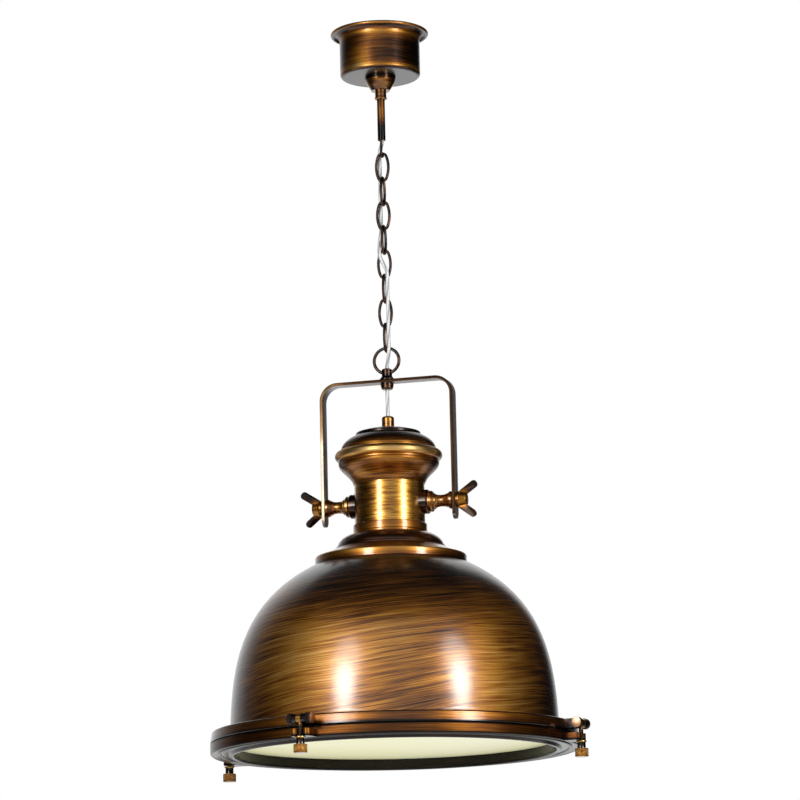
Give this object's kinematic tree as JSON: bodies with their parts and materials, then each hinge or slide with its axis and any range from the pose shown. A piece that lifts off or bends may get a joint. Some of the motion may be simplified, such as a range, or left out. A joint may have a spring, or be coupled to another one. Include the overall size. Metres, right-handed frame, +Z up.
{
  "type": "pendant light",
  "caption": "Industrial pendant light: canopy, chain, tilting spun dome in antique bronze, hinged glass lens ring held by swing bolts with thumb nuts.",
  "frame": {"origin": "centre of the ceiling face, between the two ceiling screws", "axes": "+Z up into the ceiling, +X along the yoke's pivots and the line of the ceiling screws"},
  "size_m": [0.4376, 0.4386, 0.8249],
  "materials": {
    "aged_bronze": "brushed antique bronze",
    "bright_bronze": "brushed, lightly aged brass",
    "dark_bronze": "dark oil-rubbed bronze plate",
    "zinc_steel": "zinc plated",
    "clear_pvc": "clear PVC over grey cores",
    "terminal_nylon": "moulded nylon",
    "porcelain": "gloss",
    "lens_glass": "frosted, faint green tint",
    "bulb_glass": "opal",
    "gasket_rubber": "matte"
  },
  "bodies": {
    "canopy": {"ceiling_bracket": "zinc_steel", "stem_nuts": "zinc_steel", "terminal_block": "terminal_nylon", "canopy": "aged_bronze", "canopy_seat_ring": "dark_bronze", "canopy_cone": "bright_bronze", "stem_collar": "bright_bronze", "stem_tube": "aged_bronze", "chain_hook": "dark_bronze", "cord": "clear_pvc"},
    "link_1": {"link_1": "dark_bronze"},
    "link_2": {"link_2": "dark_bronze"},
    "link_3": {"link_3": "dark_bronze"},
    "link_4": {"link_4": "dark_bronze"},
    "link_5": {"link_5": "dark_bronze"},
    "link_6": {"link_6": "dark_bronze"},
    "link_7": {"link_7": "dark_bronze"},
    "link_8": {"link_8": "dark_bronze"},
    "yoke": {"yoke_loop": "dark_bronze", "yoke_hub": "dark_bronze", "yoke_strap": "aged_bronze", "yoke_nut": "dark_bronze", "cord_grip": "dark_bronze"},
    "shade": {"cap_gland": "bright_bronze", "gland_nut": "zinc_steel", "cap_lid": "aged_bronze", "cap_bell": "aged_bronze", "neck_tube": "bright_bronze", "neck_collar": "aged_bronze", "clamp_plate": "zinc_steel", "collar_screws": "zinc_steel", "lamp_holder": "porcelain", "holder_screws": "zinc_steel", "lamp": "bulb_glass", "pivot_studs": "zinc_steel", "pivot_inner_nuts": "zinc_steel", "pivot_bosses": "dark_bronze", "pivot_spacers": "bright_bronze", "dome": "aged_bronze", "rim_ring": "aged_bronze", "glass_gasket": "gasket_rubber", "glass": "lens_glass", "lens_ring": "aged_bronze", "hinge_pin": "bright_bronze", "latch_pins": "bright_bronze"},
    "wing_nut_left": {"wing_nut_left": "bright_bronze"},
    "wing_nut_right": {"wing_nut_right": "bright_bronze"},
    "swing_bolt_front": {"swing_bolt_front": "bright_bronze"},
    "thumb_nut_front": {"thumb_nut_front": "bright_bronze"},
    "swing_bolt_right": {"swing_bolt_right": "bright_bronze"},
    "thumb_nut_right": {"thumb_nut_right": "bright_bronze"},
    "swing_bolt_left": {"swing_bolt_left": "bright_bronze"},
    "thumb_nut_left": {"thumb_nut_left": "bright_bronze"}
  },
  "joints": [
    {"name": "link_1_swing", "type": "hinge", "parent": "canopy", "child": "link_1", "pos_m": [0, 0, -0.1425], "axis": [0, 1, 0], "range_deg": [-15, 15], "deforming": ["cord"]},
    {"name": "link_2_swing", "type": "hinge", "parent": "link_1", "child": "link_2", "pos_m": [0, 0, -0.17031], "axis": [1, 0, 0], "range_deg": [-15, 15], "deforming": ["cord"]},
    {"name": "link_3_swing", "type": "hinge", "parent": "link_2", "child": "link_3", "pos_m": [0, 0, -0.19802], "axis": [0, 1, 0], "range_deg": [-15, 15], "deforming": ["cord"]},
    {"name": "link_4_swing", "type": "hinge", "parent": "link_3", "child": "link_4", "pos_m": [0, 0, -0.22572], "axis": [1, 0, 0], "range_deg": [-15, 15], "deforming": ["cord"]},
    {"name": "link_5_swing", "type": "hinge", "parent": "link_4", "child": "link_5", "pos_m": [0, 0, -0.25343], "axis": [0, 1, 0], "range_deg": [-15, 15], "deforming": ["cord"]},
    {"name": "link_6_swing", "type": "hinge", "parent": "link_5", "child": "link_6", "pos_m": [0, 0, -0.28114], "axis": [1, 0, 0], "range_deg": [-15, 15], "deforming": ["cord"]},
    {"name": "link_7_swing", "type": "hinge", "parent": "link_6", "child": "link_7", "pos_m": [0, 0, -0.30885], "axis": [0, 1, 0], "range_deg": [-15, 15], "deforming": ["cord"]},
    {"name": "link_8_swing", "type": "hinge", "parent": "link_7", "child": "link_8", "pos_m": [0, 0, -0.33656], "axis": [1, 0, 0], "range_deg": [-15, 15], "deforming": ["cord"]},
    {"name": "yoke_swing", "type": "hinge", "parent": "link_8", "child": "yoke", "pos_m": [0, 0, -0.36426], "axis": [0, 1, 0], "range_deg": [-15, 15], "deforming": ["cord"]},
    {"name": "shade_tilt", "type": "hinge", "parent": "yoke", "child": "shade", "pos_m": [0, 0, -0.53506], "axis": [1, 0, 0], "range_deg": [-30, 30], "deforming": ["cord"]},
    {"name": "wing_nut_left_turn", "type": "hinge", "parent": "shade", "child": "wing_nut_left", "pos_m": [-0.084, 0, -0.53506], "axis": [-1, 0, 0], "continuous": true},
    {"name": "wing_nut_right_turn", "type": "hinge", "parent": "shade", "child": "wing_nut_right", "pos_m": [0.084, 0, -0.53506], "axis": [1, 0, 0], "continuous": true},
    {"name": "swing_bolt_front_swing", "type": "hinge", "parent": "shade", "child": "swing_bolt_front", "pos_m": [-0.04066, -0.21112, -0.78886], "axis": [-0.982, 0.1891, 0], "range_deg": [0, 100]},
    {"name": "thumb_nut_front_turn", "type": "hinge", "parent": "swing_bolt_front", "child": "thumb_nut_front", "pos_m": [-0.04066, -0.21112, -0.816], "axis": [0, 0, -1], "continuous": true},
    {"name": "swing_bolt_right_swing", "type": "hinge", "parent": "shade", "child": "swing_bolt_right", "pos_m": [0.2134, -0.0262, -0.78886], "axis": [-0.1219, -0.9925, 0], "range_deg": [0, 100]},
    {"name": "thumb_nut_right_turn", "type": "hinge", "parent": "swing_bolt_right", "child": "thumb_nut_right", "pos_m": [0.2134, -0.0262, -0.816], "axis": [0, 0, -1], "continuous": true},
    {"name": "swing_bolt_left_swing", "type": "hinge", "parent": "shade", "child": "swing_bolt_left", "pos_m": [-0.20787, 0.05492, -0.78886], "axis": [0.2554, 0.9668, 0], "range_deg": [0, 100]},
    {"name": "thumb_nut_left_turn", "type": "hinge", "parent": "swing_bolt_left", "child": "thumb_nut_left", "pos_m": [-0.20787, 0.05492, -0.816], "axis": [0, 0, -1], "continuous": true}
  ]
}
